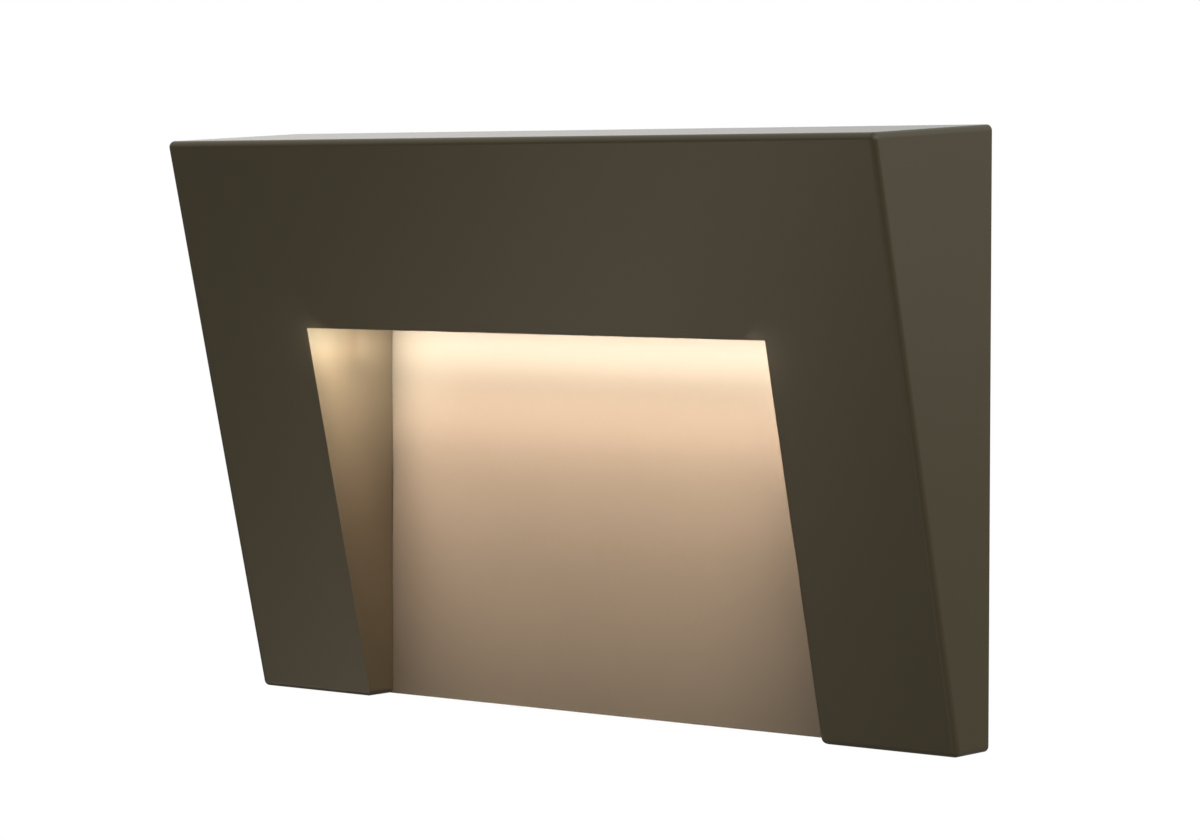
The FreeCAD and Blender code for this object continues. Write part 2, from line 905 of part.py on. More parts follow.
os.makedirs("parts", exist_ok=True)
for name, shape in nodes.items():
    shape.translate(FreeCAD.Vector(0, 0, -screw_line_height))
    shape.exportStep(f"parts/{name}.step")
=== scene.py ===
import math

import bmesh
import bpy
from bpy.props import FloatProperty, FloatVectorProperty, IntProperty, PointerProperty
from mathutils import Euler, Matrix, Vector


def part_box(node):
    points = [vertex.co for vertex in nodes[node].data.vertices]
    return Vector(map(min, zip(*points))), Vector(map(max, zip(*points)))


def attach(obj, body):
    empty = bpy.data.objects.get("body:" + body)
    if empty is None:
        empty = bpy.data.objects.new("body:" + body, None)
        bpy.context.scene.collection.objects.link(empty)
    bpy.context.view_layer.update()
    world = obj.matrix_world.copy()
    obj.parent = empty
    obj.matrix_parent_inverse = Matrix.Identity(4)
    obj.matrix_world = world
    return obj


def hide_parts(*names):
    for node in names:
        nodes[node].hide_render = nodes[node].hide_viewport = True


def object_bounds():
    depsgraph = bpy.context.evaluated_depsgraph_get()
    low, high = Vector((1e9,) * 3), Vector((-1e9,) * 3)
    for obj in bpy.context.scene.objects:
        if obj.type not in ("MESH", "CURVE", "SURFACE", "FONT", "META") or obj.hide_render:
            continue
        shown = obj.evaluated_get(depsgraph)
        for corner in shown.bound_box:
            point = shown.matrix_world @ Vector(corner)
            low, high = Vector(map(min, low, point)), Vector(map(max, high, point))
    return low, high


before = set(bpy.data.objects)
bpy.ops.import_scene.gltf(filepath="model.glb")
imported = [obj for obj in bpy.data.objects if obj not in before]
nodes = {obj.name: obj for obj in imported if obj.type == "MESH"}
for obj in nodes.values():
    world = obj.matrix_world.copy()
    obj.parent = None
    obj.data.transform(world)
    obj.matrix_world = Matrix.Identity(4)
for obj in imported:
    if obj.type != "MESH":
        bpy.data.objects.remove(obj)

bl_info = {
    "name": "Deck light",
    "version": (1, 0, 0),
    "blender": (4, 5, 0),
    "location": "View3D > Sidebar > Deck light",
    "description": "Finishes a bronze deck light, its lamp and its stage",
    "category": "Object",
}

# Lengths are in metres, and the sensor's width in millimetres.
MM = 0.001
NEAR_CLIP = 10 * MM
SENSOR_WIDTH = 36.0
SMOOTH_ANGLE = math.radians(35)
TOUCHING = 0.001 * MM
ON_SHANK = 0.01 * MM
SIDES = 48
WIRE_SIDES = 8
SQUARE = 4
HEXAGON = 6
THREAD_STEPS = 6
ROUNDING_STEPS = 2
BLACK = (0, 0, 0)
WHITE = (1, 1, 1, 1)
cad_low, cad_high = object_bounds()
lens_low, lens_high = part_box("lens")

# How a screw is turned from standing with its head up.
HEAD_UP = Euler((0, 0, 0))
HEAD_DOWN = Euler((math.pi, 0, 0))
HEAD_REAR = Euler((-math.pi / 2, 0, 0))


def metres(name, description, size, precision=5):
    """A length that a user may change."""
    return FloatProperty(
        name=name, description=description, min=0, default=size, unit="LENGTH",
        precision=precision,
    )


def portion(name, description, value):
    """A share from 0 to 1 that a user may change."""
    return FloatProperty(
        name=name, description=description, subtype="FACTOR", min=0, max=1, default=value,
    )


def watts(name, description, value):
    """A lamp's power that a user may change."""
    return FloatProperty(
        name=name, description=description, min=0, default=value, unit="POWER", precision=4,
    )


def degrees(name, description, value):
    """An angle that a user may change, given in degrees."""
    return FloatProperty(
        name=name, description=description, subtype="ANGLE", default=math.radians(value),
    )


def rgb(name, description, colour):
    """A colour that a user may change."""
    return FloatVectorProperty(
        name=name, description=description, subtype="COLOR", size=3, min=0, max=1, default=colour,
    )


def xyz(name, description, place):
    """A place that a user may change."""
    return FloatVectorProperty(
        name=name, description=description, subtype="TRANSLATION", size=3, default=place,
    )


class BronzeSettings(bpy.types.PropertyGroup):
    """The powder coat on the casting and on the plate."""

    tint: rgb("Tint", "Colour of the casting's coat", (0.080, 0.0648, 0.0368))
    sheet_tint: rgb("Sheet tint", "Colour of the plate's coat", (0.080, 0.072, 0.049))
    mottle: portion("Mottle", "How far the colour wanders over a piece", 0.03)
    roughness: portion("Roughness", "Roughness of the powder coat", 0.25)
    grain: metres("Grain", "Width of one grain of the fine texture", 0.2 * MM)
    grain_depth: metres("Grain depth", "Depth of the casting's texture", 0.004 * MM, 6)
    sheet_depth: metres("Sheet depth", "Depth of the plate's texture", 0.0016 * MM, 6)


class LampSettings(bpy.types.PropertyGroup):
    """The LEDs' warm light, through the lens and down the plate."""

    colour: rgb("Colour", "Colour of the LEDs behind the lens", (1.0, 0.775, 0.76))
    near_colour: rgb(
        "Near colour", "Colour of the light close to the lens, and on the legs", (1.0, 0.95, 0.98),
    )
    power: watts("Power", "Light power of all the wash lamps", 0.1)
    glow: FloatProperty(
        name="Glow", description="Brightness of the lens itself", min=0, default=2.4,
    )


class ScrewSettings(bpy.types.PropertyGroup):
    """The cover, board and set screws."""

    cover_head: metres("Cover screw head", "Height of a cover or spreader screw's head", 1.3 * MM)
    board_head: metres("Board screw head", "Height of a board screw's head", 1.2 * MM)
    cover_shank: metres("Cover screw shank", "Radius of a cover screw's shank", 1.05 * MM)
    tab_shank: metres("Tab screw shank", "Radius of a spreader screw's shank", 1.2 * MM)
    board_shank: metres("Board screw shank", "Radius of a board screw's shank", 0.95 * MM)
    set_screw: metres("Set screw", "Radius of a set screw", 1.45 * MM)
    socket: metres("Socket", "Corner radius of a set screw's hexagon socket", 0.85 * MM)
    pitch: metres("Pitch", "Rise of a thread in one turn", 0.5 * MM)
    thread_depth: metres("Thread depth", "Depth of a thread's groove", 0.2 * MM)


class EngineSettings(bpy.types.PropertyGroup):
    """The LED packages and the parts on the driver board."""

    led_width: metres("LED width", "Side of a square LED package", 3.0 * MM)
    led_cup: metres("LED cup", "Radius of the phosphor in an LED package", 1.15 * MM)
    led_pitch: metres("LED pitch", "Distance from one LED to the next", 7.0 * MM)
    wire: metres("Wire", "Radius of the choke's copper wire", 0.16 * MM)
    turns: IntProperty(name="Turns", description="Turns of wire on the choke", min=1, default=9)
    leg_thick: metres("Leg thickness", "Thickness of the chips' bent legs", 0.18 * MM)


class StageSettings(bpy.types.PropertyGroup):
    """The floor, the studio light and the camera."""

    floor_drop: metres("Floor drop", "Height of the light above the floor", 0.9)
    floor_size: metres("Floor size", "Width of the floor", 30.0)
    floor_shade: portion(
        "Floor shade", "Paleness of the floor as the light's underside sees it", 0.25,
    )
    camera_place: xyz("Camera place", "Where the camera stands", (0.31091, -0.39731, 0.02218))
    camera_azimuth: degrees("Azimuth", "Turn of the camera to the right of the light", 38.318)
    camera_elevation: degrees("Elevation", "How far the camera looks down", 3.256)
    focal_length: FloatProperty(
        name="Focal length", description="Focal length in millimetres on a 36 mm sensor",
        min=1, default=116.45,
    )
    strip_place: xyz(
        "Strip place", "Where the slanting front softbox stands", (-0.597, -0.666, -0.408),
    )
    strip_turn: FloatVectorProperty(
        name="Strip turn", description="How the front softbox is turned", subtype="EULER",
        size=3, default=(math.radians(121.65), math.radians(36.79), math.radians(-22.38)),
    )
    strip_size: FloatVectorProperty(
        name="Strip size", description="Width and length of the front softbox",
        size=2, default=(0.06, 0.96), unit="LENGTH",
    )
    strip_power: watts("Strip power", "Light power of the front softbox", 0.455)
    strip_colour: rgb("Strip colour", "Colour of the front softbox", (1.0, 0.858, 0.698))
    edge_place: xyz(
        "Edge box place", "Where the small box for the right edge stands", (-0.03, -0.88, -0.46),
    )
    edge_size: metres("Edge box size", "Width and height of the small box", 0.35)
    edge_power: watts("Edge box power", "Light power of the small box", 0.23)
    edge_colour: rgb("Edge box colour", "Colour of the small box", (1.0, 0.85, 0.68))


class Signal:
    """A node's output that takes arithmetic: each operator adds its own Math node."""

    def __init__(self, tree, socket):
        self.tree = tree
        self.socket = socket

    def maths(self, operation, *values):
        """A Math node of the same tree."""
        return self.tree.add("ShaderNodeMath", {"operation": operation}, dict(enumerate(values)))

    def other(self, name):
        """Another output of the same node."""
        return Signal(self.tree, self.socket.node.outputs[name])

    def __add__(self, other):
        return self.maths("ADD", self, other)

    def __radd__(self, other):
        return self.maths("ADD", other, self)

    def __sub__(self, other):
        return self.maths("SUBTRACT", self, other)

    def __rsub__(self, other):
        return self.maths("SUBTRACT", other, self)

    def __mul__(self, other):
        return self.maths("MULTIPLY", self, other)

    def __rmul__(self, other):
        return self.maths("MULTIPLY", other, self)

    def __truediv__(self, other):
        return self.maths("DIVIDE", self, other)

    def __rtruediv__(self, other):
        return self.maths("DIVIDE", other, self)

    def __pow__(self, other):
        return self.maths("POWER", self, other)

    def __abs__(self):
        return self.maths("ABSOLUTE", self)

    def __gt__(self, other):
        return self.maths("GREATER_THAN", self, other)

    def __lt__(self, other):
        return self.maths("LESS_THAN", self, other)

    def cosine(self):
        return self.maths("COSINE", self)

    def fraction(self):
        return self.maths("FRACT", self)

    def highest(self, other):
        return self.maths("MAXIMUM", self, other)


class Tree:
    """Adds nodes to a material, a world or a Geometry Nodes group."""

    def __init__(self, tree):
        self.tree = tree
        self.tree.nodes.clear()

    def add(self, kind, settings=None, sockets=None, output=0):
        """Adds a node: its settings first, then the values or links of its sockets."""
        node = self.tree.nodes.new(kind)
        for name, value in (settings or {}).items():
            setattr(node, name, value)
        for name, value in (sockets or {}).items():
            if isinstance(value, Signal):
                self.tree.links.new(value.socket, node.inputs[name])
            else:
                node.inputs[name].default_value = value
        return Signal(self, node.outputs[output]) if node.outputs else None

    def parts(self, vector):
        """The X, Y and Z of a vector."""
        x = self.add("ShaderNodeSeparateXYZ", None, {"Vector": vector}, "X")
        return x, x.other("Y"), x.other("Z")

    def vector(self, x, y, z):
        """A vector of three values."""
        return self.add("ShaderNodeCombineXYZ", None, {"X": x, "Y": y, "Z": z})


class Finish(Tree):
    """Builds one material's nodes."""

    def __init__(self, name):
        self.material = bpy.data.materials.new(name)
        self.material.use_nodes = True
        super().__init__(self.material.node_tree)

    def point(self):
        """The point on the piece, in metres."""
        return self.add("ShaderNodeTexCoord", output="Object")

    def place(self, scale):
        """The point on the piece, with its pattern squeezed along the axes by scale."""
        return self.add("ShaderNodeMapping", None, {"Vector": self.point(), "Scale": scale})

    def noise(self, size, place=None, detail=2.0):
        """Soft noise whose lumps are about size metres wide, from 0 to 1 round 0.5."""
        sockets = {"Vector": place or self.point(), "Scale": 1 / size, "Detail": detail}
        return self.add("ShaderNodeTexNoise", None, sockets)

    def cells(self, size):
        """Round cells about size metres wide, 0 in their middles."""
        sockets = {"Vector": self.point(), "Scale": 1 / size}
        return self.add("ShaderNodeTexVoronoi", None, sockets, "Distance")

    def mix(self, factor, first, second):
        """A colour between two colours."""
        sockets = {0: factor, 6: rgba(first), 7: rgba(second)}
        return self.add("ShaderNodeMix", {"data_type": "RGBA"}, sockets, 2)

    def shades(self, factor, colour, dark, pale):
        """One colour between two brightnesses of it."""
        return self.mix(factor, scaled(colour, dark), scaled(colour, pale))

    def bump(self, height, depth):
        """A normal bent by a height from 0 to 1 that stands for depth metres."""
        sockets = {"Height": height, "Distance": depth, "Strength": 1.0}
        return self.add("ShaderNodeBump", None, sockets)

    def surface(self, sockets):
        """Ends the material in one Principled shader."""
        shader = self.add("ShaderNodeBsdfPrincipled", None, sockets)
        self.add("ShaderNodeOutputMaterial", None, {"Surface": shader})
        return self.material


class Maker(Tree):
    """A Geometry Nodes group with named inputs, which ends in real faces with one finish."""

    def __init__(self, name):
        self.group = bpy.data.node_groups.new(name, "GeometryNodeTree")
        super().__init__(self.group)
        self.entry = self.tree.nodes.new("NodeGroupInput")

    def ask(self, name, kind="NodeSocketFloat"):
        """A named input of the group."""
        self.group.interface.new_socket(name, in_out="INPUT", socket_type=kind)
        return Signal(self, self.entry.outputs[name])

    def ask_blank(self):
        """The inputs for copies of a blank: their places, the blank's shape and its turn."""
        places = self.ask("Places", "NodeSocketGeometry")
        blank = self.ask("Blank", "NodeSocketObject")
        turn = self.ask("Turn", "NodeSocketRotation")
        shape = self.add("GeometryNodeObjectInfo", None, {"Object": blank}, "Geometry")
        return places, shape, turn

    def end(self, **sockets):
        """Sets a shape down at every place, as real faces with the finish that is asked for."""
        copies = self.add("GeometryNodeInstanceOnPoints", None, sockets)
        solid = self.add("GeometryNodeRealizeInstances", None, {"Geometry": copies})
        finish = self.ask("Finish", "NodeSocketMaterial")
        dressed = self.add("GeometryNodeSetMaterial", None, {"Geometry": solid, "Material": finish})
        self.group.interface.new_socket("Made", in_out="OUTPUT", socket_type="NodeSocketGeometry")
        self.add("NodeGroupOutput", None, {"Made": dressed})
        return self.group


def rgba(colour):
    """A colour with the alpha that a socket wants."""
    if isinstance(colour, Signal) or len(colour) == 4:
        return colour
    return (*colour, 1)


def scaled(colour, factor):
    """A colour made brighter or darker."""
    return tuple(channel * factor for channel in colour)


def swing(noise, reach):
    """Noise from 0 to 1 as a swing round 0, reach wide from end to end."""
    return (noise - 0.5) * reach


def stripe(value, centre, half):
    """1 where a value lies within half of a centre, and 0 elsewhere."""
    return abs(value - centre) < half


def powder_coat(name, tint, depth):
    """Polyester powder: an even skin with a fine grain and a colour that hardly wanders."""
    bronze = bpy.context.scene.deck_light_bronze
    finish = Finish(name)
    wander = finish.noise(18 * MM, detail=3.0)
    fleck = finish.noise(bronze.grain, detail=1.0)
    return finish.surface({
        "Base Color": finish.shades(wander, tint, 1 - bronze.mottle, 1 + bronze.mottle),
        "Roughness": bronze.roughness + swing(fleck, 0.06),
        "Normal": finish.bump(fleck, depth),
    })


def moulded(name, colour, roughness, grain=0.12 * MM, depth=0.003 * MM):
    """Plastic or rubber from a mould: slight flow marks and an eroded tool's fine grain."""
    finish = Finish(name)
    flow = finish.noise(5 * MM, detail=4.0)
    fine = finish.noise(grain)
    return finish.surface({
        "Base Color": finish.shades(flow, colour, 0.9, 1.08),
        "Roughness": roughness + swing(flow, 0.12) + swing(fine, 0.08),
        "Normal": finish.bump(fine, depth),
    })


def metal(name, colour, roughness, lay=(1, 1, 1), depth=0.002 * MM):
    """Bare or plated metal: marks that run along the axis with the smallest lay."""
    finish = Finish(name)
    marks = finish.noise(0.9 * MM, finish.place(lay), detail=5.0)
    cloud = finish.noise(7 * MM, detail=3.0)
    return finish.surface({
        "Base Color": finish.shades(cloud, colour, 0.88, 1.06),
        "Metallic": 1.0,
        "Roughness": roughness + swing(marks, 0.22) + swing(cloud, 0.1),
        "Normal": finish.bump(marks, depth),
    })


def closed_cell_foam(name):
    """Black foam: pinched skin over cells half a millimetre wide."""
    finish = Finish(name)
    cell = finish.cells(0.55 * MM)
    fine = finish.noise(0.15 * MM)
    return finish.surface({
        "Base Color": finish.mix(cell, (0.012, 0.012, 0.013), (0.045, 0.045, 0.046)),
        "Roughness": 0.82 + swing(fine, 0.2),
        "Normal": finish.bump(cell + fine * 0.4, 0.06 * MM),
    })


def frosted_lens(name):
    """A lit frosted window, a little brighter in front of each LED."""
    lamp = bpy.context.scene.deck_light_lamp
    engine = bpy.context.scene.deck_light_engine
    finish = Finish(name)
    fine = finish.noise(0.2 * MM)
    x, _, _ = finish.parts(finish.point())
    near_led = 0.5 - (x * (2 * math.pi / engine.led_pitch)).cosine() * 0.5
    return finish.surface({
        "Base Color": rgba((0.9, 0.88, 0.82)),
        "Roughness": 0.5 + swing(fine, 0.1),
        "Emission Color": finish.shades(near_led, lamp.colour, 0.3, 1),
        "Emission Strength": lamp.glow,
        "Normal": finish.bump(fine, 0.004 * MM),
    })


def solder_mask(name, colour, copper, gap, width):
    """A circuit board: its copper shows through the lacquer as tracks and as plain areas."""
    finish = Finish(name)
    x, y, _ = finish.parts(finish.point())
    _, _, facing = finish.parts(finish.add("ShaderNodeTexCoord", output="Normal"))
    patch = finish.noise(6 * MM, detail=0.0) > 0.5
    area = finish.noise(8 * MM, detail=1.0) > 0.53
    along = abs((y / gap).fraction() - 0.5) < width / gap / 2
    across = abs((x / gap).fraction() - 0.5) < width / gap / 2
    track = (along * patch + across * (1 - patch)).highest(area) * (abs(facing) > 0.5)
    fine = finish.noise(0.1 * MM)
    return finish.surface({
        "Base Color": finish.mix(track, colour, copper),
        "Roughness": 0.32 + swing(fine, 0.12),
        "Normal": finish.bump(track + fine * 0.1, 0.02 * MM),
    })


def shrink_sleeve(name):
    """A capacitor's shiny sleeve, with a pale stripe along one side."""
    finish = Finish(name)
    low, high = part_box("smoothing_capacitor")
    _, y, z = finish.parts(finish.point())
    pale = stripe(y, high.y, 0.9 * MM) * stripe(z, (low.z + high.z) / 2, 1.1 * MM)
    crease = finish.noise(1.5 * MM, finish.place((3, 1, 1)))
    return finish.surface({
        "Base Color": finish.mix(pale, (0.02, 0.022, 0.035), (0.55, 0.55, 0.52)),
        "Roughness": 0.22 + swing(crease, 0.15),
        "Normal": finish.bump(crease, 0.01 * MM),
    })


def phosphor(name):
    """Yellow phosphor in silicone, lit from below."""
    lamp = bpy.context.scene.deck_light_lamp
    finish = Finish(name)
    grain = finish.noise(0.12 * MM, detail=3.0)
    return finish.surface({
        "Base Color": finish.mix(grain, (0.85, 0.58, 0.12), (0.95, 0.72, 0.2)),
        "Roughness": 0.3 + swing(grain, 0.2),
        "Emission Color": rgba(tuple(lamp.colour)),
        "Emission Strength": lamp.glow,
        "Normal": finish.bump(grain, 0.01 * MM),
    })


def dress(name, material):
    """Gives a CAD node its finish."""
    slots = nodes[name].data.materials
    slots.clear()
    slots.append(material)


def solids(name):
    """The boxes of the separate solids in a node, as (low, high) pairs from left to right."""
    mesh = bmesh.new()
    mesh.from_mesh(nodes[name].data)
    bmesh.ops.remove_doubles(mesh, verts=mesh.verts, dist=TOUCHING)
    left = set(mesh.verts)
    boxes = []
    while left:
        start = left.pop()
        group, queue = [start], [start]
        while queue:
            vertex = queue.pop()
            near = [edge.other_vert(vertex) for edge in vertex.link_edges]
            fresh = [other for other in near if other in left]
            left.difference_update(fresh)
            queue += fresh
            group += fresh
        low = Vector([min(vertex.co[axis] for vertex in group) for axis in range(3)])
        high = Vector([max(vertex.co[axis] for vertex in group) for axis in range(3)])
        boxes.append((low, high))
    mesh.free()
    return sorted(boxes, key=lambda box: (round(box[0].x, 5), box[0].z))


def extent(low, high, way):
    """How long a box is along a way."""
    return sum(abs(way[axis]) * (high - low)[axis] for axis in range(3))


def middle(low, high, height):
    """The point at a height over the middle of a box."""
    return Vector(((low.x + high.x) / 2, (low.y + high.y) / 2, height))


def polygon(turn, flats=0, cut=0):
    """How far a regular polygon reaches at a turn, as a share of its corner radius.

    A cut over 1 takes its corners off, that many times as far out as its sides.
    """
    if not flats:
        return 1.0
    half_slice = math.pi / flats
    side = math.cos(half_slice) / math.cos(turn % (2 * half_slice) - half_slice)
    return min(side, cut * polygon(turn + half_slice, flats)) if cut else side


def turned(profile, closed=False):
    """Turns (radius, height), with flats and a corner cut after them, about Z, as a bmesh.

    The points run from the foot up. Where they don't close on themselves, they start and end
    on the axis.
    """
    mesh = bmesh.new()
    rings = []
    for radius, height, *corners in profile:
        if radius == 0:
            rings.append([mesh.verts.new((0, 0, height))] * SIDES)
            continue
        ring = []
        for side in range(SIDES):
            turn = side * 2 * math.pi / SIDES
            reach = radius * polygon(turn, *corners)
            ring.append(mesh.verts.new((reach * math.cos(turn), reach * math.sin(turn), height)))
        rings.append(ring)
    pairs = list(zip(rings, rings[1:] + rings[:1])) if closed else list(zip(rings, rings[1:]))
    for lower, upper in pairs:
        for side in range(SIDES):
            after = (side + 1) % SIDES
            corners = [lower[side], lower[after], upper[after], upper[side]]
            mesh.faces.new(list(dict.fromkeys(corners)))
    bmesh.ops.recalc_face_normals(mesh, faces=mesh.faces)
    return mesh


def plate(outline, thickness):
    """A flat shape of (x, z) points, as thick as asked along Y about its middle, as a bmesh."""
    mesh = bmesh.new()
    front = [mesh.verts.new((x, -thickness / 2, z)) for x, z in outline]
    rear = [mesh.verts.new((x, thickness / 2, z)) for x, z in outline]
    mesh.faces.new(front)
    mesh.faces.new(list(reversed(rear)))
    for start, end in zip(range(len(outline)), [*range(1, len(outline)), 0]):
        mesh.faces.new([front[end], front[start], rear[start], rear[end]])
    bmesh.ops.recalc_face_normals(mesh, faces=mesh.faces)
    return mesh


def rounded_block(low, high, radius):
    """A block between two corners with its edges rounded, as a bmesh."""
    mesh = bmesh.new()
    bmesh.ops.create_cube(mesh, size=1)
    size = high - low
    for vertex in mesh.verts:
        vertex.co = low + Vector(size[axis] * (vertex.co[axis] + 0.5) for axis in range(3))
    bmesh.ops.bevel(
        mesh, geom=mesh.edges, offset=radius, segments=ROUNDING_STEPS, profile=0.5, affect="EDGES",
    )
    return mesh


def piece(name, mesh, body, material=None, replaces=()):
    """Makes a named piece of a bmesh or a mesh, which rides on a body."""
    if isinstance(mesh, bmesh.types.BMesh):
        data = bpy.data.meshes.new(name)
        mesh.to_mesh(data)
        mesh.free()
    else:
        data = mesh
        data.name = name
    if material:
        data.materials.append(material)
    data.shade_smooth()
    data.set_sharp_from_angle(angle=SMOOTH_ANGLE)
    made = bpy.data.objects.new(name, data)
    bpy.context.scene.collection.objects.link(made)
    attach(made, body)
    if replaces:
        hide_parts(*replaces)


def placed(mesh, turn, place):
    """A bmesh turned and carried to its place."""
    mesh.transform(Matrix.Translation(place) @ turn.to_matrix().to_4x4())
    return mesh


def grown(group, places, values):
    """Runs a Geometry Nodes group on some places and keeps what it makes as a plain mesh."""
    data = bpy.data.meshes.new("places")
    data.from_pydata(places, [], [])
    carrier = bpy.data.objects.new("places", data)
    bpy.context.scene.collection.objects.link(carrier)
    modifier = carrier.modifiers.new("grow", "NODES")
    modifier.node_group = group
    for item in group.interface.items_tree:
        if item.in_out == "INPUT" and item.name in values:
            modifier[item.identifier] = values[item.name]
    seen = carrier.evaluated_get(bpy.context.evaluated_depsgraph_get())
    made = bpy.data.meshes.new_from_object(seen)
    carrier.modifiers.remove(modifier)
    bpy.data.objects.remove(carrier)
    return made


def copies_group():
    """Sets one blank down at every place."""
    maker = Maker("copies")
    places, shape, turn = maker.ask_blank()
    return maker.end(Points=places, Instance=shape, Rotation=turn)


def screws_group():
    """Cuts a thread round a blank's shank and sets a screw down at every place."""
    maker = Maker("screws")
    places, shape, turn = maker.ask_blank()
    radius = maker.ask("Thread radius")
    pitch = maker.ask("Pitch")
    depth = maker.ask("Thread depth")
    low = maker.ask("Thread start")
    high = maker.ask("Thread end")
    x, y, z = maker.parts(maker.add("GeometryNodeInputPosition"))
    reach = (x * x + y * y) ** 0.5
    skin = (abs(reach - radius) < ON_SHANK) * (z > low) * (z < high)
    turns = y.maths("ARCTAN2", y, x) / (2 * math.pi)
    wave = abs((z / pitch - turns).fraction() * 2 - 1)
    share = 1 - wave * depth / radius
    cut = maker.add("GeometryNodeSetPosition", None, {
        "Geometry": shape, "Selection": skin, "Position": maker.vector(x * share, y * share, z),
    })
    return maker.end(Points=places, Instance=cut, Rotation=turn)


def winding_group():
    """Winds round wire in one layer about Z, from each place up."""
    maker = Maker("winding")
    places = maker.ask("Places", "NodeSocketGeometry")
    turns = maker.ask("Turns")
    radius = maker.ask("Radius")
    height = maker.ask("Height")
    wire = maker.ask("Wire")
    coil = maker.add("GeometryNodeCurveSpiral", None, {
        "Resolution": SIDES // 2, "Rotations": turns, "Start Radius": radius,
        "End Radius": radius, "Height": height,
    })
    sockets = {"Resolution": WIRE_SIDES, "Radius": wire}
    section = maker.add("GeometryNodeCurvePrimitiveCircle", None, sockets)
    tube = maker.add("GeometryNodeCurveToMesh", None, {
        "Curve": coil, "Profile Curve": section, "Fill Caps": True,
    })
    return maker.end(Points=places, Instance=tube)


def blank_object(mesh):
    """Holds a bmesh as an object for a Geometry Nodes group to copy."""
    data = bpy.data.meshes.new("blank")
    mesh.to_mesh(data)
    mesh.free()
    made = bpy.data.objects.new("blank", data)
    bpy.context.scene.collection.objects.link(made)
    return made


def copied(mesh, places, turn, finish, group=None, **values):
    """Copies a blank to its places, by the plain group or by one that is given."""
    blank = blank_object(mesh)
    values |= {"Blank": blank, "Turn": turn, "Finish": finish}
    made = grown(group or copies_group(), places, values)
    bpy.data.objects.remove(blank)
    return made


def shank_rings(radius, low, high, step):
    """Close rings along a shank, for a thread to be cut in."""
    count = max(2, round((high - low) / step))
    return [(radius, low + (high - low) * ring / count) for ring in range(count + 1)]


def threaded(profile, places, turn, finish, radius, start, end):
    """Copies of a turned screw, with a thread cut in its shank from start to end."""
    screw = bpy.context.scene.deck_light_screws
    values = {
        "Thread radius": radius, "Pitch": screw.pitch, "Thread depth": screw.thread_depth,
        "Thread start": start, "Thread end": end,
    }
    return copied(turned(profile), places, turn, finish, screws_group(), **values)


def headed_screws(name, head_height, shank, turn):
    """Washer-faced hexagon screws with threaded shanks, one for each of the node's solids."""
    screw = bpy.context.scene.deck_light_screws
    boxes = solids(name)
    up = Vector((0, 0, 1))
    up.rotate(turn)
    low, high = boxes[0]
    length = extent(low, high, up) - head_height
    reach = (high.x - low.x) / 2
    places = []
    for low, high in boxes:
        tip = extent(low, high, up) / 2
        places.append((low + high) / 2 + up * (tip - head_height))
    point = 0.35 * MM
    plain_neck = 0.4 * MM
    thread_end = 0.5 * MM
    flange = reach * 0.97
    hexagon = reach * 0.84
    washer = head_height * 0.3
    rings = shank_rings(shank, -length + point, -plain_neck, screw.pitch / THREAD_STEPS)
    profile = [
        (0, -length), (shank - point, -length), *rings, (shank, 0),
        (flange, 0), (flange, head_height * 0.14), (hexagon, washer),
        (hexagon, washer, HEXAGON), (hexagon, head_height * 0.84, HEXAGON),
        (reach * 0.68, head_height), (reach * 0.46, head_height),
        (reach * 0.4, head_height * 0.8), (0, head_height * 0.76),
    ]
    finish = metal("zinc_plated_steel", (0.62, 0.61, 0.57), 0.3)
    mesh = threaded(profile, places, turn, finish, shank, -length + point * 1.2, -thread_end)
    piece(name + "_turned", mesh, "light", replaces=[name])


def set_screw(side):
    """A threaded grub screw: hexagon socket below, chamfered tip above."""
    screw = bpy.context.scene.deck_light_screws
    name = side + "_set_screw"
    low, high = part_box(name)
    length = high.z - low.z
    radius = screw.set_screw
    socket_depth = 1.5 * MM
    drill_tip = 0.2 * MM
    socket_edge = 0.12 * MM
    foot = 0.25 * MM
    tip = 0.5 * MM
    runout = 0.02 * MM
    rings = shank_rings(radius, foot, length - tip, screw.pitch / THREAD_STEPS)
    profile = [
        (0, socket_depth + drill_tip), (screw.socket * 0.8, socket_depth),
        (screw.socket, socket_depth, HEXAGON), (screw.socket, socket_edge, HEXAGON),
        (screw.socket + socket_edge, 0), (radius - foot, 0), *rings, (radius - tip, length),
        (0, length),
    ]
    finish = metal("black_oxide_steel", (0.07, 0.07, 0.072), 0.38)
    start, end = foot + runout, length - tip - runout
    places = [middle(low, high, low.z)]
    mesh = threaded(profile, places, HEAD_UP, finish, radius, start, end)
    piece(name + "_turned", mesh, side + "_screw", replaces=[name])


